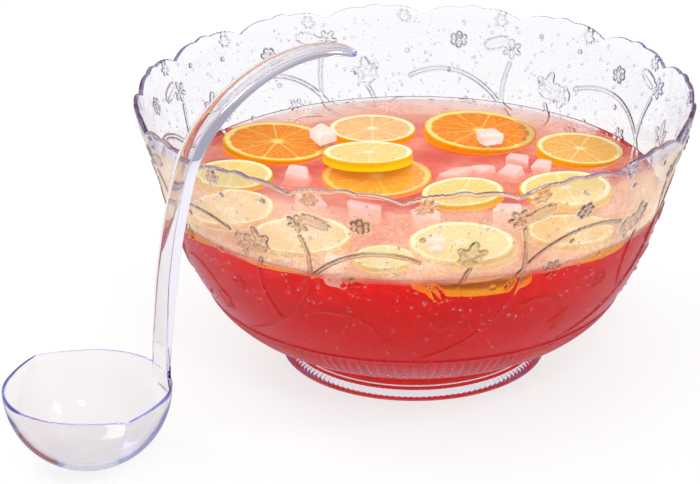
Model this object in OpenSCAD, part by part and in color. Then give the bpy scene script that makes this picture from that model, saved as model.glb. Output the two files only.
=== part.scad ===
// Punch bowl set: a clear bowl with a scalloped rim, a fluted band and a ring foot, the ladle that
// stands beside it and hooks over its rim, and the punch with the fruit and ice that float in it.
// Millimetres, +Z up. The origin is the centre of the foot's underside, on the table.

/* [Bowl] */
// Diameter across the rim
rim_d = 330; // [310:1:350]
// Height of the scallop crests above the table
bowl_h = 165; // [160:1:170]
// Wall thickness, measured across
wall_t = 3; // [2:0.5:3.5]
// Height of the inside floor above the table
floor_z = 6.5; // [6:0.5:8]

/* [Scalloped rim] */
// Number of scallops round the rim
scallops = 16; // [12:1:20]
// Rise of a scallop's crest above the points between scallops
scallop_rise = 6.3; // [4:0.1:8]
// Turn of the first crest from the X axis, in degrees
scallop_turn = 7.6; // [0:0.1:22]

/* [Foot and band] */
// Outside diameter of the ring foot
foot_d = 160; // [150:1:165]
// Height of the ring foot
foot_h = 5.5; // [5:0.5:8]
// Width of the ring that stands on the table
foot_ring_w = 7; // [5:0.5:9]
// Depth of the hollow under the floor
foot_recess = 3.5; // [3:0.5:4]
// How far the fluted band stands out of the wall
band_t = 1.2; // [0.8:0.1:2]

/* [Punch] */
// Height of the liquid's surface above the table
punch_z = 107; // [100:1:110]
// Gap between a floating piece and the liquid round it
float_gap = 0.4; // [0.3:0.1:0.6]

/* [Ladle cup] */
// Diameter of the cup's rim
cup_d = 94; // [88:1:98]
// Height of the cup's rim above the table
cup_h = 45; // [42:1:48]
// Wall thickness of the cup
cup_t = 2.5; // [2:0.5:3]
// Diameter of the flat that the cup stands on
cup_flat_d = 28; // [20:1:34]
// Reach of each pouring lip from the cup's axis
lip_reach = 52; // [50:0.5:54]

/* [Ladle handle] */
// Width of the handle at the cup
handle_w = 21; // [18:1:24]
// Width of the handle at its tip
handle_tip_w = 15; // [12:1:17]
// Thickness of the handle at the cup, in the middle and at the tip
handle_t = [4, 6.5, 3.5];
// Direction that the handle leans in, in degrees from the X axis
handle_turn = 25; // [24:0.5:27]

/* [Fruit and ice] */
// Thickness of a fruit slice
slice_t = 6; // [5:0.5:6]
// Thickness of the slices that are cut thick
thick_t = 9; // [8:0.5:9]
// Size of the bevel round a slice's peel
slice_bevel = 1; // [0.5:0.1:1.5]
// Share of an ice cube's corner-to-corner size that is left after melting
ice_melt = 0.75; // [0.7:0.01:0.78]

/* [Hidden] */
$fn = 96;
rim_r = rim_d / 2;
foot_r = foot_d / 2;
neck_r = foot_r - 3.5;
above = 40; // how far cutters run past the rim

// Outside of the wall: a steep round belly, then a lip that opens out to the rim.
// Both are Bezier curves of [radius, height].
belly_top = [rim_r - 14, bowl_h - 49];
belly = [[rim_r - 63, 27], [rim_r - 37, 42], [rim_r - 23, 76], belly_top];
lip_end = [rim_r + 0.4, bowl_h + 3]; // past the crests, so that the scallops cut it
lip = [belly_top, [rim_r - 11, bowl_h - 35], [rim_r - 2, bowl_h - 17], lip_end];
band_share = 0.32; // share of the belly curve that the fluted band covers

// Neck between the foot and the band
neck = [
    [neck_r, foot_h + 1], [neck_r, 16], [neck_r + 2.5, 20.5], [neck_r + 9.5, 23], [neck_r + 20.5, 24]
];
foot_outline = [
    [0, 0], [foot_r - 0.5, 0], [foot_r, 0.5], [foot_r, foot_h - 2], [foot_r - 2, foot_h]
];
floor_outline = [
    [0, floor_z], [neck_r - wall_t, floor_z], [neck_r - wall_t, 17], [neck_r, 23], [neck_r + 7.5, 26]
];

// A scallop is the top of a disc whose axis runs out from the bowl's own axis
scallop_step = 360 / scallops;
scallop_half = rim_r * sin(scallop_step / 2);
scallop_r = (pow(scallop_half, 2) + pow(scallop_rise, 2)) / (2 * scallop_rise);
scallop_z = bowl_h - scallop_r;

// Ladle, in a plane through the cup's axis: s runs from the axis towards the bowl
cup_at = [-184, -147];
cup_r = cup_d / 2;
cup_deep = cup_h / sqrt(1 - pow(cup_flat_d / cup_d, 2)); // height of the whole half ellipse
cup_flat_angle = asin(cup_h / cup_deep);
cup_inside_deep = cup_h - 3;
lip_turns = [130, 300];
lip_r = 14;
lip_foot_r = 4;
lip_h = 14;
past_rim = 2;
handle_rise = [[47, 38], [43, 68], [51, 128], [63, 164]];
handle_hook = [[63, 164], [72, 194], [122, 232], [165, 214]];
handle_steps = 10;
handle_end_s = handle_hook[3][0];

// Floating slices: name, peel colour, [x, y], radius, thickness, height of the middle, tilt about X and Y
orange_peel = "darkorange";
lemon_peel = "gold";
flat_z = punch_z - 1; // middle of a slice that floats level
sunk_z = flat_z - (thick_t - slice_t) / 2; // middle of a thick one, its top as high
SLICES = [
    ["orange_slice_1", orange_peel, [-83, 62.5], 34, slice_t, flat_z, [0, 3.5]],
    ["orange_slice_2", orange_peel, [43, 79.5], 35.5, slice_t, flat_z, [0, 4]],
    ["orange_slice_3", orange_peel, [-22, 9], 33.5, slice_t, flat_z - 3, [0, -1]],
    ["orange_slice_4", orange_peel, [-107, -43], 25, thick_t, sunk_z, [1, 0]],
    ["orange_slice_5", orange_peel, [-65.5, -83], 29, thick_t, sunk_z, [-1, 0]],
    ["orange_slice_6", orange_peel, [86, -78], 25, thick_t, sunk_z, [-1, -1]],
    ["lemon_slice_1", lemon_peel, [-24, 84], 27.5, slice_t, flat_z, [-2, 1]],
    ["lemon_slice_2", lemon_peel, [-27, 27], 27.5, slice_t, flat_z + 6, [-7, 0]],
    ["lemon_slice_3", lemon_peel, [102.5, 47], 27, slice_t, flat_z, [0, 4]],
    ["lemon_slice_4", lemon_peel, [-108, 8], 24, slice_t, flat_z, [0, 1]],
    ["lemon_slice_5", lemon_peel, [28, -22.5], 24.5, slice_t, flat_z, [-2, -3]],
    ["lemon_slice_6", lemon_peel, [89, -17], 27.5, slice_t, flat_z, [-1, -2]],
    ["lemon_slice_7", lemon_peel, [24, -95], 30, thick_t, sunk_z, [0, 0]],
    ["lemon_slice_8", lemon_peel, [27, -90], 31, thick_t, sunk_z - thick_t - 0.5, [0, 0]],
    ["lemon_slice_9", lemon_peel, [-20, -116], 17, slice_t, flat_z, [0, 0]]
];

// Ice: name, [x, y, z] of the middle, size, turns about X, Y and Z
float_z = punch_z - 5; // middle of a cube that floats freely
on_slice_z = punch_z + 7.5; // middle of a chip that lies on a slice
ICE = [
    ["ice_cube_1", [-54, 58, on_slice_z], [19, 14, 8], [0, 3, 30]],
    ["ice_cube_2", [46, 51, on_slice_z], [20, 12, 8], [0, 4, -35]],
    ["ice_cube_3", [9, -109, on_slice_z], [16, 13, 8], [0, 0, 25]],
    ["ice_cube_4", [63, 34, float_z], [14, 14, 13], [25, 10, 10]],
    ["ice_cube_5", [77, 20, float_z + 1], [13, 13, 12], [-20, 25, 40]],
    ["ice_cube_6", [59, 13, float_z], [15, 14, 13], [15, -25, 60]],
    ["ice_cube_7", [24, 13, float_z], [17, 15, 14], [20, 15, 15]],
    ["ice_cube_8", [42, 18, float_z + 1], [14, 14, 13], [-15, 20, 75]],
    ["ice_cube_9", [-46, -119, float_z + 1], [13, 12, 12], [10, 15, 30]],
    ["ice_cube_10", [-30, -45, float_z], [20, 19, 16], [12, -15, 20]],
    ["ice_cube_11", [5, -54, float_z], [16, 16, 15], [-18, 12, 50]],
    ["ice_cube_12", [-62, -34, float_z], [19, 18, 16], [-12, 18, 65]],
    ["ice_cube_13", [-70, 10, float_z], [16, 15, 14], [20, -10, 35]],
    ["ice_cube_14", [52, -53, float_z], [18, 17, 15], [15, 20, 5]]
];

function names(list) = [for (item = list) item[0]];

function bezier(p, t) =
    pow(1 - t, 3) * p[0] + 3 * pow(1 - t, 2) * t * p[1]
    + 3 * (1 - t) * pow(t, 2) * p[2] + pow(t, 3) * p[3];
function curve(p, steps, from = 0, to = 1) =
    [for (i = [0:steps]) bezier(p, from + (to - from) * i / steps)];
function shift(points, by) = [for (p = points) p + by];
function reverse(list) = [for (i = [len(list) - 1:-1:0]) list[i]];
function half_diagonal(size) = norm(size) / 2;

function wall_outline(from) = concat(curve(belly, 8, from), curve(lip, 5, 0.2));

// The space inside the bowl, open at the top
module cavity() {
    wall = shift(wall_outline(0), [-wall_t, 0]);
    top = [for (r = [wall[len(wall) - 1][0], 0]) [r, bowl_h + above]];
    rotate_extrude() polygon(concat(floor_outline, wall, top));
}

// Everything that the scalloped edge leaves standing
module rim_limit() {
    cylinder(h = bowl_h - scallop_rise - 1, r = rim_r + above);
    for (k = [0:scallops - 1])
        rotate([0, 0, scallop_turn + k * scallop_step])
            translate([rim_r / 2, 0, scallop_z])
                rotate([0, 90, 0])
                    cylinder(h = rim_r / 2 + above, r = scallop_r);
}

module bowl_outside() {
    band = shift(curve(belly, 3, 0, band_share), [band_t, 0]);
    rotate_extrude()
        polygon(concat(foot_outline, neck, band, wall_outline(band_share), [[0, lip_end[1]]]));
}

module foot_hollow() {
    translate([0, 0, -above])
        cylinder(h = foot_recess + above, r = foot_r - foot_ring_w);
}

module bowl() {
    color("lavender", 0.35)
        difference() {
            intersection() {
                bowl_outside();
                rim_limit();
            }
            cavity();
            foot_hollow();
        }
}

// Clear space in the liquid for one slice, open upwards
module slice_pocket(s) {
    r = s[3];
    low = s[5] - s[4] / 2 - r * norm([sin(s[6][0]), sin(s[6][1])]);
    translate([s[2][0], s[2][1], low - float_gap])
        cylinder(h = above, r = r + float_gap);
}

// Clear space in the liquid for one ice cube, open upwards
module ice_pocket(c) {
    r = ice_melt * half_diagonal(c[2]) + float_gap;
    translate([c[1][0], c[1][1], c[1][2] - r])
        cylinder(h = above + r, r = r);
}

module punch() {
    color("crimson", 0.8)
        difference() {
            intersection() {
                cavity();
                cylinder(h = punch_z, r = rim_r);
            }
            for (s = SLICES) slice_pocket(s);
            for (c = ICE) if (c[1][2] < punch_z) ice_pocket(c);
        }
}

// A half ellipse turned round the cup's axis, cut flat where its angle ends, and its pouring lips.
// It runs on past the rim, for the rim to be cut level.
module cup_shape(r, deep, angle, lip_shrink) {
    side = [for (i = [0:9]) let (a = angle * i / 9) [r * cos(a), cup_h - deep * sin(a)]];
    rotate_extrude()
        polygon(concat([[0, cup_h + past_rim], [r, cup_h + past_rim]], side, [[0, side[9][1]]]));
    for (turn = lip_turns)
        rotate([0, 0, turn])
            translate([lip_reach - lip_r, 0, cup_h - lip_h])
                cylinder(
                    h = lip_h + past_rim,
                    r1 = lip_foot_r - lip_shrink,
                    r2 = lip_r - lip_shrink + past_rim * (lip_r - lip_foot_r) / lip_h
                );
}

function handle_thickness(u) = lookup(u, [[0, handle_t[0]], [0.5, handle_t[1]], [1, handle_t[2]]]);

// Side view of the handle: an even number of points down each side of its middle line
module handle_side() {
    path = concat(curve(handle_rise, handle_steps), curve(handle_hook, handle_steps, 0.1));
    last = len(path) - 1;
    along = [for (i = [0:last]) path[min(i + 1, last)] - path[max(i - 1, 0)]];
    out = [for (i = [0:last]) [-along[i][1], along[i][0]] / norm(along[i])];
    half = [for (i = [0:last]) handle_thickness(i / last) / 2];
    polygon(concat(
        [for (i = [0:last]) path[i] + out[i] * half[i]],
        reverse([for (i = [0:last]) path[i] - out[i] * half[i]])
    ));
}

// Top view of the handle: full width past the rim, then narrower to a round tip
module handle_top() {
    tip_r = handle_tip_w / 2;
    polygon([
        [0, -handle_w / 2], [handle_rise[3][0], -handle_w / 2], [handle_end_s - tip_r, -tip_r],
        [handle_end_s - tip_r, tip_r], [handle_rise[3][0], handle_w / 2], [0, handle_w / 2]
    ]);
    translate([handle_end_s - tip_r, 0]) circle(r = tip_r);
}

module handle() {
    rotate([0, 0, handle_turn])
        intersection() {
            rotate([90, 0, 0])
                linear_extrude(height = 2 * handle_w, center = true) handle_side();
            linear_extrude(height = 2 * bowl_h) handle_top();
        }
}

module ladle() {
    color("lavender", 0.5)
        translate([cup_at[0], cup_at[1], 0])
            difference() {
                union() {
                    intersection() {
                        cup_shape(cup_r, cup_deep, cup_flat_angle, 0);
                        cylinder(h = cup_h, r = cup_d);
                    }
                    handle();
                }
                cup_shape(cup_r - cup_t, cup_inside_deep, 90, cup_t);
            }
}

module slice(s) {
    r = s[3];
    half = s[4] / 2;
    color(s[1])
        translate([s[2][0], s[2][1], s[5]])
            rotate([s[6][0], s[6][1], 0])
                rotate_extrude()
                    polygon([
                        [0, -half], [r - slice_bevel, -half], [r, slice_bevel - half],
                        [r, half - slice_bevel], [r - slice_bevel, half], [0, half]
                    ]);
}

module ice_cube(c) {
    color("mistyrose", 0.7)
        translate(c[1])
            rotate(c[3])
                intersection() {
                    cube(c[2], center = true);
                    sphere(r = ice_melt * half_diagonal(c[2]));
                }
}

bowl();
punch();
ladle();
for (s = SLICES) slice(s);
for (c = ICE) ice_cube(c);
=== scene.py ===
"""Looks of a moulded clear-plastic punch bowl with its punch, fruit, ice and ladle.

Shapes are worked out in millimetres, as the design has them, and stored in metres.
Every piece rides on the design's own bodies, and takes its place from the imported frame.
"""
import math

import bmesh
import bpy
import numpy as np
from mathutils import Matrix, Vector


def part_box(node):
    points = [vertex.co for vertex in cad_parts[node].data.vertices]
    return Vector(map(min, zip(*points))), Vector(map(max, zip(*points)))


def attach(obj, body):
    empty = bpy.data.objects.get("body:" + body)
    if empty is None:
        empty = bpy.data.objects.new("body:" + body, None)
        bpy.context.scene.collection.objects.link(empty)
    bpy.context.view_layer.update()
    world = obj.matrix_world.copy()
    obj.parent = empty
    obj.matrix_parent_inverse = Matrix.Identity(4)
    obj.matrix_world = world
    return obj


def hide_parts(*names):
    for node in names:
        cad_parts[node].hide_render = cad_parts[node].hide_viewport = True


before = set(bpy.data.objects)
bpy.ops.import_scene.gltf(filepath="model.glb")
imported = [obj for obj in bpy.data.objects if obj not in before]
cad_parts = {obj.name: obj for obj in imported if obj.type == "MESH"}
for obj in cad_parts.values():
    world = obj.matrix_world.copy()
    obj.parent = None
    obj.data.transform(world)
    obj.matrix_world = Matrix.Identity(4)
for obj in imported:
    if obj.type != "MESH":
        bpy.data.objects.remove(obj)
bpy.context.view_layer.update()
MM = 0.001

# ---------------------------------------------------------------- the bowl, in mm
RIM_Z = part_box("bowl")[1].z / MM
PUNCH_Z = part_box("punch")[1].z / MM
WALL = 3.0
SCALLOPS = 16
CUSP_TURN = -3.66  # degrees from +X to the first cusp of the rim
COLUMNS = 1152  # points around the bowl: 72 to a scallop, 8 to a flute
FLUTES = 144
UNIT_SCALLOPS = 4  # the vine pattern repeats every four scallops
UNIT_R = 150.0  # radius at which the pattern is drawn
FOOT_R = 80.0
FLOOR_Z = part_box("punch")[0].z / MM
RECESS_Z = 3.5
NECK = [(76.5, 6.2), (76.5, 19), (79, 23.4), (92, 23.8)]
BELLY = [(102, 27), (128, 42), (142, 76), (151, 116)]
LIP = [(151, 116), (154, 130), (163, 148), (165.4, 168)]
FLOOR_CURVE = [(99, 27), (88, 26), (73.5, 27), (73.5, FLOOR_Z + 2)]
FLOOR_CORNER = [(72.9, FLOOR_Z + 0.6), (71.5, FLOOR_Z)]
# rows of the beaded ring foot: how far in, height, share of the beads' depth
FOOT_BEADS = [(0, 1.6, 0.5), (0, 2.6, 1.0), (0.2, 3.8, 1.0), (0.9, 4.8, 1.0), (2.2, 5.4, 0.4)]
BEAD_DEPTH = 1.3
BAND_TOP = 46.0
FLUTE_DEPTH = 1.1
FLUTE_SHADE = 0.34  # how far the grooves of the band are darkened

# ---------------------------------------------------------------- the camera, in m
LENS = 131.22
SENSOR = 36.0
AIM = Vector((-0.0384, 0.0, 0.06735))
CAMERA_AT = Vector((-0.0384, -1.4119, 0.6705))
CAMERA_ROLL = -0.0066


# ================================================================ curves and meshes
def bezier(points, steps):
    """Points along a cubic curve, ends included."""
    p = np.array(points, float)
    t = np.linspace(0, 1, steps)[:, None]
    return (
        (1 - t) ** 3 * p[0]
        + 3 * (1 - t) ** 2 * t * p[1]
        + 3 * (1 - t) * t**2 * p[2]
        + t**3 * p[3]
    )


def along(line, distances):
    """Points at these distances along a polyline."""
    line = np.asarray(line, float)
    steps = np.hypot(*np.diff(line, axis=0).T)
    run = np.concatenate([[0], np.cumsum(steps)])
    return np.stack([np.interp(distances, run, line[:, k]) for k in (0, 1)], -1)


def length_of(line):
    return float(np.hypot(*np.diff(np.asarray(line, float), axis=0).T).sum())


def smooth(x):
    """0 below 0, 1 above 1, smooth between."""
    x = np.clip(x, 0, 1)
    return x * x * (3 - 2 * x)


def ring_faces(rows, columns, start=0):
    """Quads between rings of points that close round."""
    row = np.arange(rows - 1)[:, None] * columns
    here = np.arange(columns)[None, :]
    there = (here + 1) % columns
    a = start + row + here
    b = start + row + there
    return np.stack([a, b, b + columns, a + columns], -1).reshape(-1, 4).tolist()


def fan_faces(pole, ring_start, columns, outward):
    """Triangles from a pole to a ring."""
    here = np.arange(columns)
    there = (here + 1) % columns
    first, second = (here, there) if outward else (there, here)
    return [[pole, ring_start + int(s), ring_start + int(f)] for f, s in zip(first, second)]


def mesh_object(name, points_mm, faces, material, smooth_shading=True):
    mesh = bpy.data.meshes.new(name)
    mesh.from_pydata((np.asarray(points_mm, float) * MM).tolist(), [], faces)
    mesh.materials.append(material)
    mesh.polygons.foreach_set("use_smooth", [smooth_shading] * len(mesh.polygons))
    mesh.validate()
    mesh.update()
    piece = bpy.data.objects.new(name, mesh)
    bpy.context.scene.collection.objects.link(piece)
    return piece


def closed_skin(name, rings, bottom, top, material):
    """A closed skin through rings of points, shape (rows, columns, 3), with a pole at each end."""
    rows, columns = rings.shape[:2]
    points = np.concatenate([rings.reshape(-1, 3), [bottom, top]])
    faces = ring_faces(rows, columns)
    faces += fan_faces(rows * columns, 0, columns, True)
    faces += fan_faces(rows * columns + 1, (rows - 1) * columns, columns, False)
    return mesh_object(name, points, faces, material)


def turned(profile, columns):
    """Rings of points from a profile of (r, z) turned about Z."""
    profile = np.asarray(profile, float)
    angle = np.arange(columns) * 2 * math.pi / columns
    r = profile[:, :1]
    z = np.repeat(profile[:, 1:], columns, axis=1)
    return np.stack([r * np.cos(angle), r * np.sin(angle), z], -1)


def place(piece, body, node):
    """Fixes a piece to the design: its body, and hides the node it stands for."""
    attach(piece, body)
    if node:
        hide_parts(node)
    return piece


# ================================================================ materials
def srgb(r, g, b):
    """A linear colour from 0-255 screen values."""
    def linear(c):
        c = c / 255
        return c / 12.92 if c <= 0.04045 else ((c + 0.055) / 1.055) ** 2.4
    return (linear(r), linear(g), linear(b), 1.0)


# Light that the cloudy materials scatter, given as a weak glow of their own.
HAZE_GLOW = 0.27
MELT_GLOW = 0.22
MIST_GLOW = 0.38
ICE_GLOW = 0.14
RIND_GLOW = 0.5  # on the sunk edge of a slice


class Nodes:
    """Short names for building a material's node tree."""

    def __init__(self, name):
        self.material = bpy.data.materials.new(name)
        self.material.use_nodes = True
        self.tree = self.material.node_tree
        self.shader = self.tree.nodes["Principled BSDF"]
        self.output = self.tree.nodes["Material Output"]

    def add(self, kind, **settings):
        node = self.tree.nodes.new(kind)
        for key, value in settings.items():
            setattr(node, key, value)
        return node

    def link(self, source, target):
        self.tree.links.new(source, target)

    def value(self, socket, target):
        """Sets a socket from a number or another socket."""
        if isinstance(socket, (int, float)):
            target.default_value = socket
        else:
            self.link(socket, target)

    def math(self, operation, a, b=0.0, clamp=False):
        node = self.add("ShaderNodeMath", operation=operation, use_clamp=clamp)
        self.value(a, node.inputs[0])
        self.value(b, node.inputs[1])
        return node.outputs[0]

    def step(self, x, low, high):
        """0 below low, 1 above high, smooth between."""
        node = self.add("ShaderNodeMapRange", interpolation_type="SMOOTHSTEP")
        self.value(x, node.inputs["Value"])
        self.value(low, node.inputs["From Min"])
        self.value(high, node.inputs["From Max"])
        return node.outputs["Result"]

    def noise(self, vector, scale, detail=2.0, roughness=0.5):
        node = self.add("ShaderNodeTexNoise")
        self.link(vector, node.inputs["Vector"])
        node.inputs["Scale"].default_value = scale
        node.inputs["Detail"].default_value = detail
        node.inputs["Roughness"].default_value = roughness
        return node.outputs["Fac"]

    def mix(self, factor, a, b):
        node = self.add("ShaderNodeMix", data_type="RGBA")
        self.value(factor, node.inputs[0])
        for colour, socket in ((a, node.inputs[6]), (b, node.inputs[7])):
            if isinstance(colour, tuple):
                socket.default_value = colour
            else:
                self.link(colour, socket)
        return node.outputs[2]

    def object_point(self):
        return self.add("ShaderNodeTexCoord").outputs["Object"]

    def bump(self, height, distance_mm, strength=1.0):
        node = self.add("ShaderNodeBump")
        node.inputs["Strength"].default_value = strength
        node.inputs["Distance"].default_value = distance_mm * MM
        self.link(height, node.inputs["Height"])
        self.link(node.outputs["Normal"], self.shader.inputs["Normal"])

    def absorb(self, colour, density):
        node = self.add("ShaderNodeVolumeAbsorption")
        node.inputs["Color"].default_value = colour
        node.inputs["Density"].default_value = density
        self.link(node.outputs["Volume"], self.output.inputs["Volume"])


def clear_plastic(name, ior, wave_mm, tint, density, painted_outlines=False):
    """Moulded clear plastic with a faint blue-violet body, as its edges show.

    Where its outlines are painted, a painted shade darkens its colour on the sloping sides of
    its relief and in the grooves of its band, standing in for the dark lines that refraction
    draws there; and the wall that the punch wets gives no reflection of its own."""
    n = Nodes(name)
    s = n.shader.inputs
    s["Base Color"].default_value = tint
    s["Transmission Weight"].default_value = 1.0
    s["IOR"].default_value = ior
    s["Specular Tint"].default_value = (0.6, 0.6, 0.6, 1.0)
    if painted_outlines:
        gloss = n.add("ShaderNodeAttribute", attribute_name="gloss").outputs["Fac"]
        n.link(gloss, s["Specular Tint"])
        # painted shade: a per-point attribute mixes the colour towards dark violet, standing in for the dark
        # lines of refraction
        steep = n.add("ShaderNodeAttribute", attribute_name="steep").outputs["Fac"]
        n.link(n.mix(steep, (1.0, 1.0, 1.0, 1.0), srgb(44, 40, 66)), s["Base Color"])
    point = n.object_point()
    speck = n.noise(point, 900.0, 3.0)
    n.link(n.step(speck, 0.35, 3.2), s["Roughness"])
    n.bump(n.noise(point, 45.0, 1.0), wave_mm, 0.6)
    n.absorb((0.36, 0.38, 0.94, 1.0), density)
    return n.material


def punch_liquid():
    n = Nodes("punch_liquid")
    s = n.shader.inputs
    s["Base Color"].default_value = (1.0, 1.0, 1.0, 1.0)
    s["Transmission Weight"].default_value = 1.0
    s["Roughness"].default_value = 0.0
    s["IOR"].default_value = 1.333
    point = n.object_point()
    n.bump(n.noise(point, 60.0, 2.0), 0.4, 0.5)
    n.link(n.add("ShaderNodeAttribute", attribute_name="gloss").outputs["Fac"], s["Specular Tint"])
    n.absorb((0.985, 0.40, 0.10, 1.0), 24.0)
    return n.material


def juice_haze():
    """The pulp that hangs in the punch and keeps the far side from showing through."""
    n = Nodes("juice_haze")
    s = n.shader.inputs
    s["Base Color"].default_value = srgb(238, 54, 34)
    # painted light: a weak red glow for the light that the pulp scatters
    s["Emission Color"].default_value = (0.86, 0.018, 0.012, 1.0)
    s["Emission Strength"].default_value = HAZE_GLOW
    s["Roughness"].default_value = 1.0
    s["Specular IOR Level"].default_value = 0.0
    s["Alpha"].default_value = 0.2
    return n.material


def melt_streaks():
    """Pale streaks just under the surface, where the ice has melted into the punch; they also glow a little,
    which is painted light.
    """
    n = Nodes("melt_streaks")
    s = n.shader.inputs
    s["Base Color"].default_value = srgb(255, 200, 172)
    # painted light: a weak pale glow
    s["Emission Color"].default_value = srgb(255, 190, 160)
    s["Emission Strength"].default_value = MELT_GLOW
    s["Roughness"].default_value = 1.0
    s["Specular IOR Level"].default_value = 0.0
    streaks = n.step(n.noise(n.object_point(), 26.0, 4.0, 0.6), 0.36, 0.66)
    n.link(n.math("ADD", 0.1, n.math("MULTIPLY", streaks, 0.34)), s["Alpha"])
    return n.material


def water_drops():
    n = Nodes("water_drops")
    s = n.shader.inputs
    s["Transmission Weight"].default_value = 1.0
    s["Roughness"].default_value = 0.0
    s["IOR"].default_value = 1.333
    s["Base Color"].default_value = (1.0, 1.0, 1.0, 1.0)
    return n.material


def misted_water():
    """A patchy film of condensation, densest just above the punch, with a weak glow of painted light."""
    n = Nodes("misted_water")
    s = n.shader.inputs
    point = n.object_point()
    patches = n.step(n.noise(point, 38.0, 4.0, 0.6), 0.3, 0.7)
    beads = n.step(n.noise(point, 620.0, 2.0), 0.4, 0.6)
    n.link(n.mix(patches, srgb(255, 226, 178), srgb(255, 242, 216)), s["Base Color"])
    # painted light: a weak glow for the light that the drops gather
    s["Emission Color"].default_value = srgb(255, 224, 176)
    s["Emission Strength"].default_value = MIST_GLOW
    s["Roughness"].default_value = 0.7
    s["Specular IOR Level"].default_value = 0.2
    thickness = n.add("ShaderNodeAttribute", attribute_name="mist").outputs["Fac"]
    cover = n.math("ADD", 0.55, n.math("MULTIPLY", patches, 0.45))
    cover = n.math("MULTIPLY", cover, n.math("ADD", 0.6, n.math("MULTIPLY", beads, 0.4)))
    n.link(n.math("MULTIPLY", n.math("MULTIPLY", cover, thickness), MIST_COVER), s["Alpha"])
    n.bump(beads, 0.1, 0.5)
    return n.material


def melting_ice():
    n = Nodes("melting_ice")
    s = n.shader.inputs
    point = n.object_point()
    cloud = n.noise(point, 130.0, 4.0)
    n.link(n.mix(n.step(cloud, 0.35, 0.7), srgb(255, 236, 230), srgb(255, 252, 250)), s["Base Color"])
    n.link(n.step(cloud, 0.2, 2.2), s["Roughness"])
    s["Transmission Weight"].default_value = 0.6
    s["IOR"].default_value = 1.31
    # painted light: a weak glow for the light that the ice scatters
    s["Emission Color"].default_value = srgb(255, 226, 220)
    s["Emission Strength"].default_value = ICE_GLOW
    s["Subsurface Weight"].default_value = 0.4
    s["Subsurface Radius"].default_value = (1.0, 0.8, 0.75)
    s["Subsurface Scale"].default_value = 0.004
    n.bump(n.noise(point, 300.0, 3.0), 0.3, 0.5)
    return n.material


def citrus(name, radius_mm, segments, turn, pulp, pulp_dark, pith, rind, glow=0.0):
    """Cut citrus: wedges of pulp between membranes, a ring of pith and the rind.

    Worked out from each point's place about the slice's own centre."""
    n = Nodes(name)
    s = n.shader.inputs
    point = n.object_point()
    split = n.add("ShaderNodeSeparateXYZ")
    n.link(point, split.inputs[0])
    x, y = split.outputs[0], split.outputs[1]
    radius = n.math("SQRT", n.math("ADD", n.math("MULTIPLY", x, x), n.math("MULTIPLY", y, y)))
    share = n.math("DIVIDE", radius, radius_mm * MM)
    angle = n.math("ARCTAN2", y, x)
    uneven = n.math("MULTIPLY", n.math("SINE", n.math("MULTIPLY", angle, 2.0)), 0.22)
    spin = n.math("ADD", n.math("MULTIPLY", angle, segments / (2 * math.pi)), uneven)
    wedge = n.math("FRACT", n.math("ADD", spin, turn))
    edge = n.math("MULTIPLY", n.math("ABSOLUTE", n.math("SUBTRACT", wedge, 0.5)), 2.0)
    gap = n.math("MULTIPLY", n.math("SUBTRACT", 1.0, edge), n.math("MULTIPLY", radius, math.pi / segments))
    grain = n.noise(point, 160.0, 3.0)
    wobble = n.math("MULTIPLY", n.math("SUBTRACT", grain, 0.5), 0.0006)
    membrane = n.step(n.math("ADD", gap, wobble), 0.0008, 0.0001)
    vesicle_at = n.add("ShaderNodeCombineXYZ")
    n.link(n.math("MULTIPLY", n.math("COSINE", angle), 18.0), vesicle_at.inputs[0])
    n.link(n.math("MULTIPLY", n.math("SINE", angle), 18.0), vesicle_at.inputs[1])
    n.link(n.math("MULTIPLY", radius, 150.0), vesicle_at.inputs[2])
    vesicles = n.noise(vesicle_at.outputs[0], 2.4, 4.0, 0.75)
    flesh = n.mix(n.step(vesicles, 0.42, 0.58), pulp_dark, pulp)
    flesh = n.mix(n.step(vesicles, 0.56, 0.74), flesh, pith)
    flesh = n.mix(n.math("MULTIPLY", membrane, 0.5), flesh, pith)
    rounded = n.math("MULTIPLY", n.math("POWER", edge, 5.0), 0.045)
    pith_from = n.math("SUBTRACT", n.math("ADD", 0.865, wobble), rounded)
    inner = n.step(n.math("SUBTRACT", share, pith_from), -0.012, 0.012)
    core = n.step(n.math("ADD", share, n.math("MULTIPLY", vesicles, 0.22)), 0.27, 0.17)
    colour = n.mix(n.math("MAXIMUM", inner, core), flesh, pith)
    outer = n.step(n.math("ADD", share, n.math("MULTIPLY", grain, 0.02)), 0.955, 0.975)
    colour = n.mix(outer, colour, rind)
    n.link(colour, s["Base Color"])
    n.link(n.step(grain, -0.6, 2.0), s["Roughness"])
    # painted light: the rind below the surface glows in its own colour, and glow lights the whole slice, for
    # light that comes through the flesh
    under = n.step(split.outputs[2], 0.0015, -0.0015)
    n.link(colour, s["Emission Color"])
    painted_rind_glow = n.math("MULTIPLY", n.math("MULTIPLY", outer, under), RIND_GLOW)
    n.link(n.math("ADD", painted_rind_glow, glow), s["Emission Strength"])
    s["Subsurface Weight"].default_value = 0.35
    s["Subsurface Radius"].default_value = (1.0, 0.5, 0.2)
    s["Subsurface Scale"].default_value = 0.003
    s["Specular IOR Level"].default_value = 0.15
    s["Coat Weight"].default_value = 0.05
    s["Coat Roughness"].default_value = 0.08
    height = n.math("SUBTRACT", n.math("ADD", vesicles, n.math("MULTIPLY", grain, 0.4)), membrane)
    n.bump(height, 0.35, 0.7)
    return n.material


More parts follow.
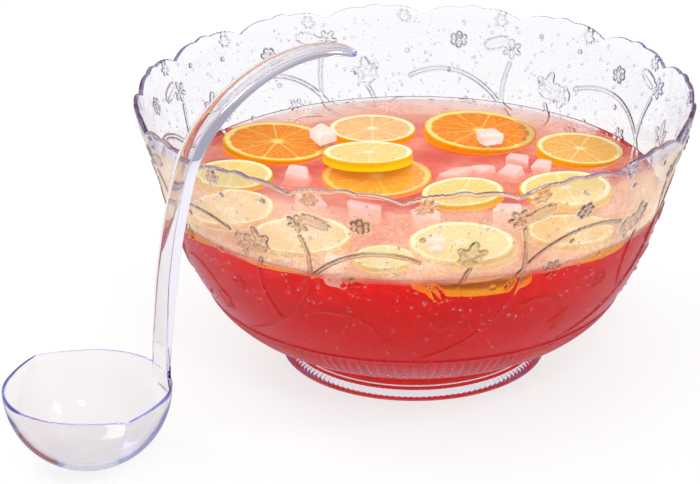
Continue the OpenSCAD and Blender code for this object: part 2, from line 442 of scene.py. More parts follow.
# ================================================================ the relief on the bowl
def curve_gap(x, v, width, control):
    """Distance from each point to a curved line, on a pattern that repeats every width."""
    line = bezier(control, 26)
    best = np.full(x.shape, 1e9)
    for (x0, v0), (x1, v1) in zip(line[:-1], line[1:]):
        dx = (x - x0 + width / 2) % width - width / 2
        dv = v - v0
        ex, ev = x1 - x0, v1 - v0
        t = np.clip((dx * ex + dv * ev) / (ex * ex + ev * ev), 0, 1)
        best = np.minimum(best, np.hypot(dx - t * ex, dv - t * ev))
    return best


def polar(x, v, width, at, turn=0.0):
    dx = (x - at[0] + width / 2) % width - width / 2
    dv = v - at[1]
    return np.hypot(dx, dv), np.arctan2(dv, dx) - math.radians(turn)


def dome(distance, radius, height):
    return height * np.sqrt(np.clip(1 - (distance / radius) ** 2, 0, 1))


IVY_LOBES = ((0, 1.0), (58, 0.86), (-58, 0.86), (122, 0.66), (-122, 0.66))


def ivy_leaf(x, v, width, at, size, turn):
    """A leaf of five uneven rounded lobes, its blade raised and its veins sunk."""
    rho, phi = polar(x, v, width, at, turn)
    reach = np.full(x.shape, 0.56)
    veins = np.zeros(x.shape)
    for lobe, length in IVY_LOBES:
        off = (phi - math.radians(lobe) + math.pi) % (2 * math.pi) - math.pi
        reach = np.maximum(reach, length * np.exp(-((off / 0.52) ** 2)))
        on_axis = (np.abs(off) < 1.2) & (rho < 0.82 * length * size)
        veins = np.maximum(veins, on_axis * smooth(1 - rho * np.abs(np.sin(off)) / 0.9))
    blade = 0.9 * smooth((size * reach - rho) / 1.5)
    return np.maximum(blade - 0.75 * veins * (blade > 0.3), 0)


def serrated_leaf(x, v, width, at, size, turn):
    rho, phi = polar(x, v, width, at, turn)
    oval = size / np.sqrt(np.cos(phi) ** 2 + (2.1 * np.sin(phi)) ** 2)
    outline = oval * (1 + 0.10 * np.sin(16 * phi))
    vein = 0.6 * smooth(1 - np.abs(rho * np.sin(phi)) / 0.8)
    return np.maximum(0.8 * smooth((outline - rho) / 1.3) - vein, 0)


def flower(x, v, width, at, size, turn):
    rho, _ = polar(x, v, width, at)
    total = dome(rho, 0.22 * size, 1.2)
    for k in range(6):
        a = math.radians(turn + 60 * k)
        middle = (at[0] + 0.62 * size * math.cos(a), at[1] + 0.62 * size * math.sin(a))
        d, phi = polar(x, v, width, middle, math.degrees(a))
        stretched = d * np.sqrt(np.cos(phi) ** 2 + (1.7 * np.sin(phi)) ** 2)
        total = np.maximum(total, dome(stretched, 0.42 * size, 1.0))
    return total


def berries(x, v, width, at, size, turn):
    total = dome(polar(x, v, width, at)[0], 0.33 * size, 1.2)
    for k in range(6):
        a = math.radians(turn + 60 * k)
        middle = (at[0] + 0.66 * size * math.cos(a), at[1] + 0.66 * size * math.sin(a))
        total = np.maximum(total, dome(polar(x, v, width, middle)[0], 0.33 * size, 1.2))
    return total


# One unit of the vine, drawn flat: x along the wall, v up it from the fluted band.
STEMS = [
    [(6, 4), (46, 18), (78, 52), (64, 98)],
    [(58, 58), (76, 88), (104, 96), (132, 84)],
    [(70, 44), (86, 50), (96, 44), (102, 34)],
    [(40, 30), (30, 48), (28, 62), (36, 74)],
    [(112, 4), (150, 16), (196, 44), (180, 92)],
    [(176, 56), (196, 82), (220, 92), (244, 80)],
    [(184, 40), (204, 44), (214, 36), (220, 26)],
    [(156, 28), (146, 46), (146, 58), (152, 70)],
]
LEAVES = [(104, 26, 12, 250), (36, 82, 12, 80), (140, 78, 11, -20), (222, 18, 11, 240), (152, 80, 12, 100)]
TOOTHED = [(72, 108, 9, 20), (190, 104, 9, 160), (18, 58, 8, 120)]
FLOWERS = [(60, 106, 6.5, 10), (180, 101, 6.5, 25), (86, 66, 6, 0), (206, 62, 6, 15)]
BERRIES = [(128, 46, 6, 0), (22, 36, 6, 20), (100, 102, 5.5, 10), (214, 104, 5.5, 30)]
BUDS = [(10, 96), (50, 60), (120, 66), (162, 112), (96, 82), (230, 60), (134, 108), (200, 24), (80, 20)]


def vine_relief(x, v, width):
    """Height of the moulded vine over the wall."""
    total = np.zeros(x.shape)
    for control in STEMS:
        total = np.maximum(total, dome(curve_gap(x, v, width, control), 1.3, 0.9))
    for form, places in ((ivy_leaf, LEAVES), (serrated_leaf, TOOTHED), (flower, FLOWERS), (berries, BERRIES)):
        for px, pv, size, turn in places:
            total = np.maximum(total, form(x, v, width, (px, pv), size, turn))
    for at in BUDS:
        total = np.maximum(total, dome(polar(x, v, width, at)[0], 1.6, 0.9))
    return total


# ================================================================ the bowl
def rim_drop(u):
    """How far the rim lies below its crest, where u runs from cusp to cusp."""
    envelope = 5.0 * np.abs(2 * u - 1) ** 2.2
    wavy = 1.3 * np.sin(math.pi * np.clip(u / 0.40, 0, 1)) + 0.22 * np.sin(u * 120) * (u < 0.4)
    bump = 1.5 * np.sin(math.pi * np.clip((u - 0.40) / 0.21, 0, 1))
    plain = 1.3 * np.sin(math.pi * np.clip((u - 0.61) / 0.39, 0, 1))
    raised = wavy + bump + plain - envelope
    return 1.5 - raised


def bowl_columns():
    """Azimuth of each column of points, and how far it is from cusp to cusp."""
    k = np.arange(COLUMNS)
    azimuth = np.radians(CUSP_TURN) + k * 2 * math.pi / COLUMNS
    per = COLUMNS // SCALLOPS
    return azimuth, (k % per) / per


def build_bowl(material):
    azimuth, u = bowl_columns()
    wall = np.concatenate([bezier(BELLY, 120), bezier(LIP, 90)[1:]])
    drop = rim_drop(u)
    edge_z = RIM_Z - WALL / 2 - (drop - drop.min())
    steps = np.concatenate([[0], np.cumsum(np.hypot(*np.diff(wall, axis=0).T))])
    edge_s = np.interp(edge_z, wall[:, 1], steps)
    band_s = float(np.interp(BAND_TOP, wall[:, 1], steps))
    split_s = float(np.interp(138, wall[:, 1], steps))

    rows = []

    def add_ring(r, z):
        rows.append((np.broadcast_to(r, (COLUMNS,)), np.broadcast_to(z, (COLUMNS,))))

    ridge = 1 - np.abs(np.sin(FLUTES / 2 * (azimuth - azimuth[0])))
    for r in (24.0, 48.0, 66.0, 71.0):
        add_ring(r, RECESS_Z)
    for r, z in ((72.4, RECESS_Z - 0.3), (73, RECESS_Z - 0.9), (73, 0.8), (73.3, 0.2), (74, 0)):
        add_ring(r, z)
    for r, z in ((79, 0), (79.8, 0.3), (80, 0.9)):
        add_ring(r, z)
    for drop_in, z, depth in FOOT_BEADS:
        add_ring(FOOT_R - drop_in - BEAD_DEPTH * depth * (1 - ridge), z)
    for r, z in bezier(NECK, 12):
        add_ring(r, z)
    add_ring(99.0, 24.4)
    add_ring(101.2, 25.2)
    band_at = len(rows)
    band = along(wall, np.linspace(0, band_s, 16))
    for k, (r, z) in enumerate(band):
        share = k / (len(band) - 1)
        lift = 0.4 + FLUTE_DEPTH * ridge * smooth(share / 0.12) * smooth((1 - share) / 0.1)
        add_ring(r + lift * 0.75, z - lift * 0.65)
    for further, lift in ((0.4, 0.95), (0.9, 1.15), (1.4, 0.95), (1.8, 0.3)):
        r, z = along(wall, [band_s + further])[0]
        add_ring(r + lift * 0.75, z - lift * 0.65)

    lower = np.linspace(band_s + 2.2, split_s, 117)
    upper = np.linspace(0, 1, 34)[1:]
    run = np.concatenate([
        np.repeat(lower[:, None], COLUMNS, axis=1),
        split_s + (edge_s - split_s)[None, :] * upper[:, None],
    ])
    r = np.interp(run, steps, wall[:, 0])
    z = np.interp(run, steps, wall[:, 1])
    slope = np.gradient(wall, axis=0)
    slope /= np.hypot(*slope.T)[:, None]
    normal_r = np.interp(run, steps, slope[:, 1])
    normal_z = -np.interp(run, steps, slope[:, 0])
    unit = COLUMNS * UNIT_SCALLOPS // SCALLOPS
    width = 2 * math.pi * UNIT_R * UNIT_SCALLOPS / SCALLOPS
    x = np.repeat(np.arange(unit)[None, :] * width / unit, len(run), axis=0)
    v = run[:, :unit] - band_s
    relief = vine_relief(x, v, width)
    scallop = width / UNIT_SCALLOPS
    below = v - (edge_s[:unit] - band_s)[None, :]
    rim_flower = flower(x % scallop, below, scallop, (0.20 * scallop, -5.0), 4.6, 0)
    relief = np.maximum(relief, 0.8 * rim_flower)
    fade = smooth((edge_s[:unit][None, :] - run[:, :unit]) / 1.5) * smooth(v / 3)
    relief = np.tile(relief * fade, (1, SCALLOPS // UNIT_SCALLOPS))
    around = np.gradient(relief, axis=1) / (2 * math.pi * UNIT_R / COLUMNS)
    upward = np.gradient(relief, axis=0) / np.gradient(run, axis=0)
    relief_at = len(rows)
    # painted shade over the relief: darker where it slopes, a quarter as dark under the punch, with a faint
    # even share above it
    steep = smooth((np.hypot(around, upward) - 0.28) / 0.5)
    above_punch = smooth((z[:, :1] - PUNCH_Z + 6) / 8)
    steep = steep * (0.25 + 0.75 * above_punch) + 0.07 * above_punch
    for k in range(len(run)):
        add_ring(r[k] + normal_r[k] * relief[k], z[k] + normal_z[k] * relief[k])
    edge_r = np.interp(edge_s, steps, wall[:, 0])
    for a in np.radians([20, 45, 70, 90, 110, 135, 160, 180]):
        add_ring(edge_r - WALL / 2 + WALL / 2 * math.cos(a), edge_z + WALL / 2 * math.sin(a))
    for share in (0.9, 0.75, 0.55):
        s = split_s + (edge_s - split_s) * share
        add_ring(np.interp(s, steps, wall[:, 0]) - WALL, np.interp(s, steps, wall[:, 1]))

    radius = np.stack([row[0] for row in rows])
    height = np.stack([row[1] for row in rows])
    outer = np.stack([radius * np.cos(azimuth), radius * np.sin(azimuth), height], -1)

    coarse = COLUMNS // 3
    inner_wall = along(wall, np.linspace(split_s, 0, 34)) - [WALL, 0]
    floor_curve = bezier(FLOOR_CURVE, 14)[1:]
    flat = FLOOR_CORNER + [(r, FLOOR_Z) for r in (50, 30, 12)]
    inner = np.concatenate([inner_wall, floor_curve, flat])
    inner_azimuth = azimuth[::3]
    inner_rings = np.stack([
        inner[:, :1] * np.cos(inner_azimuth),
        inner[:, :1] * np.sin(inner_azimuth),
        np.repeat(inner[:, 1:], coarse, axis=1),
    ], -1)

    poles = [[0, 0, RECESS_Z], [0, 0, FLOOR_Z]]
    points = np.concatenate([outer.reshape(-1, 3), inner_rings.reshape(-1, 3), poles])
    faces = ring_faces(len(outer), COLUMNS)
    last = (len(outer) - 1) * COLUMNS
    first = len(outer) * COLUMNS
    for k in range(coarse):
        a = last + 3 * k
        b = first + k
        a3 = last + (3 * k + 3) % COLUMNS
        b1 = first + (k + 1) % coarse
        faces += [[a, a + 1, b], [a + 1, a + 2, b1, b], [a + 2, a3, b1]]
    faces += ring_faces(len(inner_rings), coarse, first)
    foot_pole = len(points) - 2
    faces += fan_faces(foot_pole, 0, COLUMNS, True)
    faces += fan_faces(foot_pole + 1, first + (len(inner_rings) - 1) * coarse, coarse, False)
    shell = mesh_object("bowl_shell", points, faces, material)
    # painted shade per point: on the relief's sloping sides and in the grooves of the fluted band
    outline = np.zeros(len(points), np.float32)
    outline[relief_at * COLUMNS:(relief_at + len(run)) * COLUMNS] = steep.ravel()
    grooves = np.tile(FLUTE_SHADE * (1 - ridge) ** 3, len(band))
    outline[band_at * COLUMNS:(band_at + len(band)) * COLUMNS] = grooves
    shell.data.attributes.new("steep", "FLOAT", "POINT").data.foreach_set("value", outline)
    gloss = np.full(len(points), 0.6, np.float32)
    wetted = np.arange(len(points)) >= first
    gloss[wetted & (points[:, 2] < PUNCH_Z)] = 0.0
    shell.data.attributes.new("gloss", "FLOAT", "POINT").data.foreach_set("value", gloss)
    return shell


def inner_radius(z):
    wall = np.concatenate([bezier(BELLY, 60), bezier(LIP, 40)[1:]])
    return float(np.interp(z, wall[:, 1], wall[:, 0])) - WALL


def outer_radius(z):
    return inner_radius(z) + WALL


def build_punch(material):
    """The liquid, run a little way into the plastic so that no air shows between them."""
    sink = 0.35
    floor_curve = FLOOR_CORNER[::-1] + bezier(FLOOR_CURVE, 14)[::-1].tolist()
    side = [(inner_radius(z) + sink, z) for z in np.linspace(28.5, PUNCH_Z - 0.4, 44)]
    edge = inner_radius(PUNCH_Z)
    meniscus = [(edge + 0.3 - d, PUNCH_Z + 0.5 * math.exp(-d / 1.5)) for d in (0, 0.15, 0.8, 1.6, 3, 6, 10)]
    top = [(r, PUNCH_Z) for r in (128, 112, 92, 70, 45, 20)]
    profile = [(r + sink, z - sink) for r, z in floor_curve] + side + meniscus + top
    profile = [(25, FLOOR_Z - sink), (48, FLOOR_Z - sink)] + profile
    rings = turned(profile, 288)
    liquid = closed_skin("punch_liquid", rings, (0, 0, FLOOR_Z - sink), (0, 0, PUNCH_Z), material)
    height = np.append(rings[..., 2].ravel(), [0, PUNCH_Z])
    gloss = np.where(height > PUNCH_Z - 0.2, 0.55, 0.0)
    liquid.data.attributes.new("gloss", "FLOAT", "POINT").data.foreach_set("value", gloss)
    return liquid


def build_melt(material):
    """A thin flat film a little under the surface."""
    edge = inner_radius(PUNCH_Z) - 1.5
    radii = np.linspace(12, edge, 16)
    profile = [(r, PUNCH_Z - 3.1) for r in radii] + [(r, PUNCH_Z - 3.0) for r in radii[::-1]]
    rings = turned(profile, 144)
    return closed_skin("melt_film", rings, (0, 0, PUNCH_Z - 3.1), (0, 0, PUNCH_Z - 3.0), material)


def build_haze(material, layers=5):
    """Thin veils one inside another, well under the surface where the fruit floats."""
    points, faces = [], []
    columns = 144
    for layer in range(layers):
        inset = 5 + 9 * layer
        top = PUNCH_Z - 17 - 6 * layer
        bottom = FLOOR_Z + 3 + 2.5 * layer
        profile = [(inner_radius(z) - inset, z) for z in np.linspace(top - 4, 30, 14)]
        profile = [(30, top), (70, top), (profile[0][0] - 12, top), (profile[0][0] - 3, top - 1)] + profile
        profile += [(84 - inset, 28 + 2 * layer), (70 - inset, bottom + 3)]
        profile += [(64 - inset, bottom), (15, bottom)]
        rings = turned(profile[::-1], columns)
        start = len(points)
        points.extend(rings.reshape(-1, 3).tolist() + [[0, 0, bottom], [0, 0, top]])
        rows = len(profile)
        faces += ring_faces(rows, columns, start)
        faces += fan_faces(start + rows * columns, start, columns, True)
        faces += fan_faces(start + rows * columns + 1, start + (rows - 1) * columns, columns, False)
    return mesh_object("punch_haze", points, faces, material)


# ================================================================ fruit
ORANGE = dict(
    pulp=srgb(255, 162, 6), pulp_dark=srgb(232, 108, 0), pith=srgb(255, 226, 130), rind=srgb(255, 164, 0)
)
DEEP_ORANGE = dict(
    pulp=srgb(255, 196, 84), pulp_dark=srgb(250, 156, 34), pith=srgb(255, 220, 130), rind=srgb(255, 166, 0),
    # painted light: slices in these colours glow all over
    glow=0.3,
)
PALE_ORANGE = dict(
    pulp=srgb(252, 196, 100), pulp_dark=srgb(240, 156, 50), pith=srgb(255, 236, 176), rind=srgb(255, 176, 10)
)
PEACH = dict(
    pulp=srgb(252, 208, 146), pulp_dark=srgb(240, 168, 92), pith=srgb(255, 242, 196), rind=srgb(255, 170, 0)
)
LEMON = dict(
    pulp=srgb(254, 230, 150), pulp_dark=srgb(244, 196, 96), pith=srgb(255, 248, 204), rind=srgb(255, 200, 14)
)
# name: tilt about X and Y in degrees, colours, segments, turn of the segments
SLICES = {
    "orange_slice_1": ((0, 3.5), ORANGE, 11, 0.1),
    "orange_slice_2": ((0, 4), ORANGE, 11, 0.6),
    "orange_slice_3": ((0, -1), DEEP_ORANGE, 10, 0.3),
    "orange_slice_4": ((1, 0), PEACH, 10, 0.2),
    "orange_slice_5": ((-1, 0), PEACH, 10, 0.7),
    "orange_slice_6": ((-1, -1), PALE_ORANGE, 10, 0.4),
    "lemon_slice_1": ((-2, 1), PEACH, 10, 0.5),
    "lemon_slice_2": ((-7, 0), LEMON, 9, 0.2),
    "lemon_slice_3": ((0, 4), PALE_ORANGE, 10, 0.9),
    "lemon_slice_4": ((0, 1), LEMON, 9, 0.4),
    "lemon_slice_5": ((-2, -3), LEMON, 9, 0.0),
    "lemon_slice_6": ((-1, -2), LEMON, 10, 0.3),
    "lemon_slice_7": ((0, 0), LEMON, 9, 0.6),
    "lemon_slice_8": ((0, 0), LEMON, 9, 0.1),
    "lemon_slice_9": ((0, 0), LEMON, 8, 0.2),
}
SLICE_EDGE = 1.0
THIN, THICK = 6.0, 9.0
THICK_SLICES = {"orange_slice_4", "orange_slice_5", "orange_slice_6", "lemon_slice_7", "lemon_slice_8"}


def build_slice(name, tilt, colours, segments, turn):
    """A cut disc, its wedges of pulp a little proud and its skin rounded."""
    low, high = (np.array(c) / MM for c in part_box(name))
    middle = (low + high) / 2
    radius = max(high[0] - low[0], high[1] - low[1]) / 2
    columns = 16 * segments
    angle = np.arange(columns) * 2 * math.pi / columns
    wedge = np.abs(((angle * segments / (2 * math.pi) + turn) % 1) - 0.5) * 2
    uneven = 1 - 0.006 * (1 + np.sin(3 * angle + 9 * turn)) - 0.004 * (1 + np.sin(7 * angle + 5 * turn))
    half = (THICK if name in THICK_SLICES else THIN) / 2
    shares = [0.05, 0.12, 0.22, 0.34, 0.46, 0.58, 0.69, 0.78, 0.84, 0.89, 0.93]

    def face(sign):
        rings = []
        for share in shares:
            pulp_only = smooth((0.88 - share) / 0.08) * smooth(share / 0.2)
            bulge = 0.35 * np.sqrt(np.clip(1 - wedge**4, 0, 1)) * pulp_only
            z = sign * (half - 0.4 + bulge)
            rings.append(np.stack([share * radius * np.cos(angle), share * radius * np.sin(angle), z], -1))
        return rings

    skin = []
    for a in np.radians([-90, -60, -30, 0, 30, 60, 90]):
        r = radius * uneven - SLICE_EDGE + SLICE_EDGE * math.cos(a)
        z = np.full(columns, math.copysign(half - SLICE_EDGE, a) * (abs(a) > 0.01) + SLICE_EDGE * math.sin(a))
        skin.append(np.stack([r * np.cos(angle), r * np.sin(angle), z], -1))
    rings = np.array(face(-1) + skin + face(1)[::-1])
    material = citrus("citrus_" + name, radius, segments, turn, **colours)
    piece = closed_skin(name + "_fruit", rings, (0, 0, 0.4 - half), (0, 0, half - 0.4), material)
    turn_x, turn_y = (math.radians(t) for t in tilt)
    piece.matrix_world = (
        Matrix.Translation(Vector(middle * MM))
        @ Matrix.Rotation(turn_y, 4, "Y")
        @ Matrix.Rotation(turn_x, 4, "X")
    )
    return place(piece, name, name)


# ================================================================ ice
ICE_BODY = {"ice_cube_1": "orange_slice_1", "ice_cube_2": "orange_slice_2", "ice_cube_3": "lemon_slice_7"}


def build_ice(name, seed, material):
    """A chipped, half-melted lump of ice, inside the node's box."""
    low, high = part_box(name)
    middle = (low + high) / 2
    half = (high - low) / 2
    random = np.random.default_rng(seed)
    turn = random.uniform(0, math.pi / 2)
    shape = bmesh.new()
    for corner in range(8):
        sign = np.array([corner & 1, corner >> 1 & 1, corner >> 2 & 1]) * 2 - 1
        x, y, z = sign * random.uniform(0.5, 1.05, 3)
        turned_x = (x * math.cos(turn) - y * math.sin(turn)) * 0.9
        turned_y = (x * math.sin(turn) + y * math.cos(turn)) * 0.9
        shape.verts.new((turned_x * half.x, turned_y * half.y, z * half.z))
    bmesh.ops.convex_hull(shape, input=shape.verts)
    loose = [v for v in shape.verts if not v.link_faces]
    bmesh.ops.delete(shape, geom=loose, context="VERTS")
    bmesh.ops.dissolve_limit(shape, angle_limit=0.15, verts=shape.verts, edges=shape.edges)
    bmesh.ops.bevel(
        shape,
        geom=list(shape.edges),
        offset=0.0013,
        segments=3,
        profile=0.6,
        affect="EDGES",
        clamp_overlap=True,
    )
    bmesh.ops.recalc_face_normals(shape, faces=shape.faces)
    mesh = bpy.data.meshes.new(name + "_lump")
    shape.to_mesh(mesh)
    shape.free()
    mesh.materials.append(material)
    mesh.polygons.foreach_set("use_smooth", [True] * len(mesh.polygons))
    piece = bpy.data.objects.new(name + "_lump", mesh)
    bpy.context.scene.collection.objects.link(piece)
    piece.location = middle
    return place(piece, ICE_BODY.get(name, "loose_ice"), name)


# ================================================================ condensation
MIST_COVER = 0.4  # share of the light that one face of the film stops where it is densest


def build_mist(material):
    """A thin closed film on the outside of the wall, densest at the front and near the punch."""
    columns = 384
    heights = np.concatenate([np.linspace(PUNCH_Z - 2, PUNCH_Z + 6, 12), np.linspace(PUNCH_Z + 9, 157.5, 20)])
    gaps = [(0.18, heights), (0.06, heights[::-1])]
    profile = [(outer_radius(z) + gap, z) for gap, level in gaps for z in level]
    rings = turned(profile, columns)
    rows = len(profile)
    faces = ring_faces(rows, columns)
    here = np.arange(columns)
    there = (here + 1) % columns
    last = (rows - 1) * columns
    faces += np.stack([last + here, last + there, there, here], -1).tolist()
    film = mesh_object("condensation_mist", rings.reshape(-1, 3), faces, material)
    z = rings[..., 2].ravel()
    thickness = smooth((z - PUNCH_Z + 1) / 5) * (1 - 0.3 * smooth((z - PUNCH_Z - 4) / 40))
    thickness = thickness * (1 - smooth((z - 150) / 7))
    side = rings[..., 1].ravel() / np.hypot(rings[..., 0], rings[..., 1]).ravel()
    thickness = thickness * (0.1 + 0.9 * smooth((0.4 - side) / 0.9))
    film.data.attributes.new("mist", "FLOAT", "POINT").data.foreach_set("value", thickness)
    return film


def build_drops(material, count=5200):
    """Drops of condensation on the outside of the bowl, most of them very small."""
    random = np.random.default_rng(7)
    points, faces = [], []
    spokes = 6
    around = np.arange(spokes) * 2 * math.pi / spokes
    for _ in range(count):
        azimuth = random.uniform(0, 2 * math.pi)
        z = 50 + 106 * random.random() ** 0.75
        size = 0.26 + 0.95 * random.random() ** 5
        r = outer_radius(z)
        lean = (outer_radius(z + 1) - outer_radius(z - 1)) / 2
        outward = np.array([math.cos(azimuth), math.sin(azimuth), -lean])
        outward /= np.linalg.norm(outward)
        east = np.array([-math.sin(azimuth), math.cos(azimuth), 0])
        up = np.cross(outward, east)
        middle = np.array([r * math.cos(azimuth), r * math.sin(azimuth), z])
        start = len(points)
        sag = np.where(np.sin(around) < 0, 1.3, 1.0)[:, None]
        for spread, rise in ((1.0, -0.1), (0.78, 0.42)):
            rim = np.cos(around)[:, None] * east + sag * np.sin(around)[:, None] * up
            points.extend(middle + size * (spread * rim + rise * outward))
        points.append(middle + size * 0.6 * outward)
        points.append(middle - size * 0.3 * outward)
        faces += ring_faces(2, spokes, start)
        faces += fan_faces(start + 2 * spokes, start + spokes, spokes, False)
        faces += fan_faces(start + 2 * spokes + 1, start, spokes, True)
    return mesh_object("condensation", points, faces, material)


# ================================================================ the ladle
CUP_AT = np.array([-184.0, -147.0])
CUP_R = 47.0
CUP_H = 45.0
CUP_FLAT_R = 14.0
CUP_WALL = (2.4, 1.4)  # thickness of the cup at its floor and at its rim
LIPS = (130.0, 300.0)
LIP_REACH = 5.0
HANDLE_TURN = math.radians(25)
HANDLE_RISE = [(46.0, 35.0), (43, 68), (51, 128), (63, 164)]
HANDLE_HOOK = [(63, 164), (72, 194), (122, 232), (165, 214)]


def cup_wall(height):
    return float(np.interp(height, [10, CUP_H - 8], CUP_WALL))


def cup_ring(height, inset, columns=240):
    """A ring of the ladle's cup, its two pouring lips drawn out near the rim."""
    depth = CUP_H / math.sqrt(1 - (CUP_FLAT_R / CUP_R) ** 2)
    sink = min(1.0, (CUP_H - height) / (depth - inset))
    r = (CUP_R - inset) * math.sqrt(max(0.0, 1 - sink**2))
    angle = np.arange(columns) * 2 * math.pi / columns
    reach = np.zeros(columns)
    for lip in LIPS:
        off = np.abs((np.degrees(angle) - lip + 180) % 360 - 180)
        reach += LIP_REACH * np.clip(1 - off / 34, 0, 1) ** 1.8
    r = r + reach * smooth((height - (CUP_H - 22)) / 22)
    x = CUP_AT[0] + r * np.cos(angle)
    y = CUP_AT[1] + r * np.sin(angle)
    return np.stack([x, y, np.full(columns, height)], -1)


def cup_mesh(material):
    rings = []
    edge = cup_wall(CUP_H)
    depth = CUP_H / math.sqrt(1 - (CUP_FLAT_R / CUP_R) ** 2)
    for share in np.linspace(0.02, 1, 30):
        rings.append(cup_ring((CUP_H - edge / 2) * share**1.6, 0))
    for a in np.radians([30, 60, 90, 120, 150]):
        ring = cup_ring(CUP_H, edge / 2 * (1 - math.cos(a)))
        rings.append(ring + [0, 0, edge / 2 * (math.sin(a) - 1)])
    floor = CUP_H - (depth - CUP_WALL[0]) + 0.05
    for share in np.linspace(1, 0.02, 30):
        height = floor + (CUP_H - edge / 2 - floor) * share**1.6
        rings.append(cup_ring(height, cup_wall(height)))
    bottom = (CUP_AT[0], CUP_AT[1], 0)
    inside = (CUP_AT[0], CUP_AT[1], floor)
    return closed_skin("ladle_clear", np.array(rings), bottom, inside, material)


def strap_section(half_wide, half_thick):
    """A flat strap with rounded corners and a slight crown on its broad faces."""
    corner = min(0.9, half_thick * 0.45, half_wide * 0.45)
    side = half_wide - corner
    flat = half_thick - corner
    points = []
    for quarter in range(4):
        middle = (side if quarter in (0, 3) else -side, flat if quarter < 2 else -flat)
        for a in (0, 22.5, 45, 67.5, 90):
            turn = math.radians(a + 90 * quarter)
            points.append((middle[0] + corner * math.cos(turn), middle[1] + corner * math.sin(turn)))
        if quarter in (0, 2):
            sign = 1 if quarter == 0 else -1
            for share in (0.93, 0.5, 0.0, -0.5, -0.93):
                crown = 0.25 * corner * (1 - share * share)
                points.append((sign * share * side, sign * (half_thick + crown)))
        else:
            sign = -1 if quarter == 1 else 1
            for share in (0.8, 0.0, -0.8):
                points.append((sign * half_wide, -sign * share * flat))
    return points


def handle_mesh(material):
    """A flat strap, slightly crowned, swept up from the cup and over in a hook."""
    line = np.concatenate([bezier(HANDLE_RISE, 50), bezier(HANDLE_HOOK, 50)[1:]])
    run = length_of(line)
    spots = along(line, np.linspace(0, run, 120))
    slope = np.gradient(spots, axis=0)
    slope /= np.hypot(*slope.T)[:, None]
    ahead = np.array([math.cos(HANDLE_TURN), math.sin(HANDLE_TURN), 0])
    across = np.array([-math.sin(HANDLE_TURN), math.cos(HANDLE_TURN), 0])
    up = np.array([0, 0, 1.0])
    start = np.array([CUP_AT[0], CUP_AT[1], 0])
    rings = []
    for k, ((s, z), (ds, dz)) in enumerate(zip(spots, slope)):
        share = k / (len(spots) - 1)
        left = (1 - share) * run
        width = np.interp(share, [0, 0.05, 0.2, 1], [27, 23, 20.5, 15]) / 2
        thick = np.interp(share, [0, 0.04, 0.25, 0.6, 1], [1.4, 2.2, 5.5, 6.2, 3.5]) / 2
        bow = (1 - smooth((z - CUP_H) / 35)) / (2 * CUP_R)
        tip = math.sqrt(max(0.02, 1 - max(0.0, 1 - left / 7.5) ** 2))
        normal = ahead * dz - up * ds
        ring = []
        for w, t in strap_section(width * tip, thick * (0.4 + 0.6 * tip)):
            ring.append(start + ahead * (s - bow * w * w) + up * z + across * w + normal * t)
        rings.append(ring)
    rings = np.array(rings)
    return closed_skin("ladle_handle", rings, rings[0].mean(0), rings[-1].mean(0), material)


def build_ladle(material):
    cup = cup_mesh(material)
    handle = handle_mesh(material)
    for piece in (cup, handle):
        shape = bmesh.new()
        shape.from_mesh(piece.data)
        bmesh.ops.recalc_face_normals(shape, faces=shape.faces)
        shape.to_mesh(piece.data)
        shape.free()
    join = cup.modifiers.new("join", "BOOLEAN")
    join.operation = "UNION"
    join.solver = "EXACT"
    join.object = handle
    bpy.context.view_layer.update()
    whole = bpy.data.meshes.new_from_object(cup.evaluated_get(bpy.context.evaluated_depsgraph_get()))
    cup.modifiers.clear()
    cup.data = whole
    bpy.data.objects.remove(handle)
    whole.polygons.foreach_set("use_smooth", [True] * len(whole.polygons))
    return place(cup, "ladle", "ladle")


# ================================================================ the studio
def pale_floor():
    n = Nodes("pale_floor")
    n.shader.inputs["Base Color"].default_value = (0.28, 0.28, 0.28, 1.0)
    n.shader.inputs["Roughness"].default_value = 0.8
    n.shader.inputs["Specular IOR Level"].default_value = 0.0
    n.shader.inputs["Emission Color"].default_value = (1.0, 1.0, 1.0, 1.0)
    n.shader.inputs["Emission Strength"].default_value = 0.74
    half = 12000
    corners = [(-half, -half, -0.2), (half, -half, -0.2), (half, half, -0.2), (-half, half, -0.2)]
    floor = mesh_object("pale_floor", corners, [[0, 1, 2, 3]], n.material, False)
    floor.visible_glossy = False


HORIZON = (0.45, 0.45, 0.52)
BOUNCES = 64  # fewer leave the rims of the clear pieces black


def studio_world():
    """Even white light from above that dims to violet-grey towards the horizon."""
    world = bpy.data.worlds.new("studio")
    world.use_nodes = True
    tree = world.node_tree
    point = tree.nodes.new("ShaderNodeTexCoord")
    split = tree.nodes.new("ShaderNodeSeparateXYZ")
    ramp = tree.nodes.new("ShaderNodeValToRGB")
    tree.links.new(point.outputs["Generated"], split.inputs[0])
    tree.links.new(split.outputs[2], ramp.inputs[0])
    stops = [(0.0, HORIZON), (0.42, HORIZON), (0.72, (1.05, 1.05, 1.06)), (1.0, (1.08, 1.08, 1.1))]
    while len(ramp.color_ramp.elements) < len(stops):
        ramp.color_ramp.elements.new(0.5)
    for element, (at, colour) in zip(ramp.color_ramp.elements, stops):
        element.position = at
        element.color = (*colour, 1.0)
    back = tree.nodes["Background"]
    back.inputs["Strength"].default_value = 1.0
    tree.links.new(ramp.outputs[0], back.inputs[0])
    bpy.context.scene.world = world


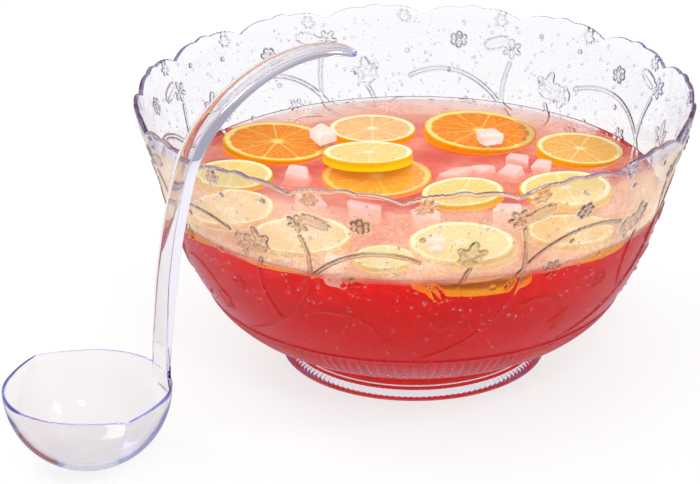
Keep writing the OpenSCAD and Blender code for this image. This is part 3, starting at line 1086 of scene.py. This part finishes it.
def softbox(name, at, aim, size, power):
    light = bpy.data.lights.new(name, "AREA")
    light.shape = "RECTANGLE"
    light.size, light.size_y = size
    light.energy = power
    lamp = bpy.data.objects.new(name, light)
    lamp.location = at
    lamp.rotation_euler = (Vector(aim) - Vector(at)).to_track_quat("-Z", "Y").to_euler()
    bpy.context.scene.collection.objects.link(lamp)


def build_studio():
    pale_floor()
    studio_world()
    middle = (0, 0, 0.08)
    softbox("key", (-1.3, 0.6, 1.7), middle, (0.8, 1.1), 11)
    softbox("fill", (1.5, -0.6, 1.6), middle, (0.4, 0.5), 6)
    softbox("front", (0.4, -1.7, 2.0), middle, (0.4, 0.12), 8)
    camera = bpy.data.objects.new("camera", bpy.data.cameras.new("camera"))
    camera.data.lens = LENS
    camera.data.sensor_width = SENSOR
    camera.data.clip_end = 60
    camera.location = CAMERA_AT
    turn = (AIM - CAMERA_AT).to_track_quat("-Z", "Y").to_matrix().to_4x4()
    camera.matrix_world = Matrix.Translation(CAMERA_AT) @ turn @ Matrix.Rotation(CAMERA_ROLL, 4, "Z")
    bpy.context.scene.collection.objects.link(camera)
    scene = bpy.context.scene
    scene.camera = camera
    scene.view_settings.view_transform = "Standard"
    scene.cycles.max_bounces = BOUNCES
    scene.cycles.transmission_bounces = BOUNCES
    scene.cycles.glossy_bounces = BOUNCES
    scene.cycles.transparent_max_bounces = BOUNCES
    scene.cycles.blur_glossy = 0.5


# ================================================================ the object
build_studio()
bowl_plastic = clear_plastic("bowl_plastic", 1.5, 0.12, (1.0, 1.0, 1.0, 1.0), 16.0, True)
place(build_bowl(bowl_plastic), "bowl", "bowl")
place(build_punch(punch_liquid()), "bowl", "punch")
place(build_haze(juice_haze()), "bowl", None)
place(build_melt(melt_streaks()), "bowl", None)
place(build_mist(misted_water()), "bowl", None)
place(build_drops(water_drops()), "bowl", None)
for slice_name, (slice_tilt, slice_colours, slice_segments, slice_turn) in SLICES.items():
    build_slice(slice_name, slice_tilt, slice_colours, slice_segments, slice_turn)
ice_material = melting_ice()
for number in range(1, 15):
    build_ice(f"ice_cube_{number}", number, ice_material)
build_ladle(clear_plastic("ladle_plastic", 1.49, 0.05, (0.935, 0.915, 0.91, 1.0), 8.0))
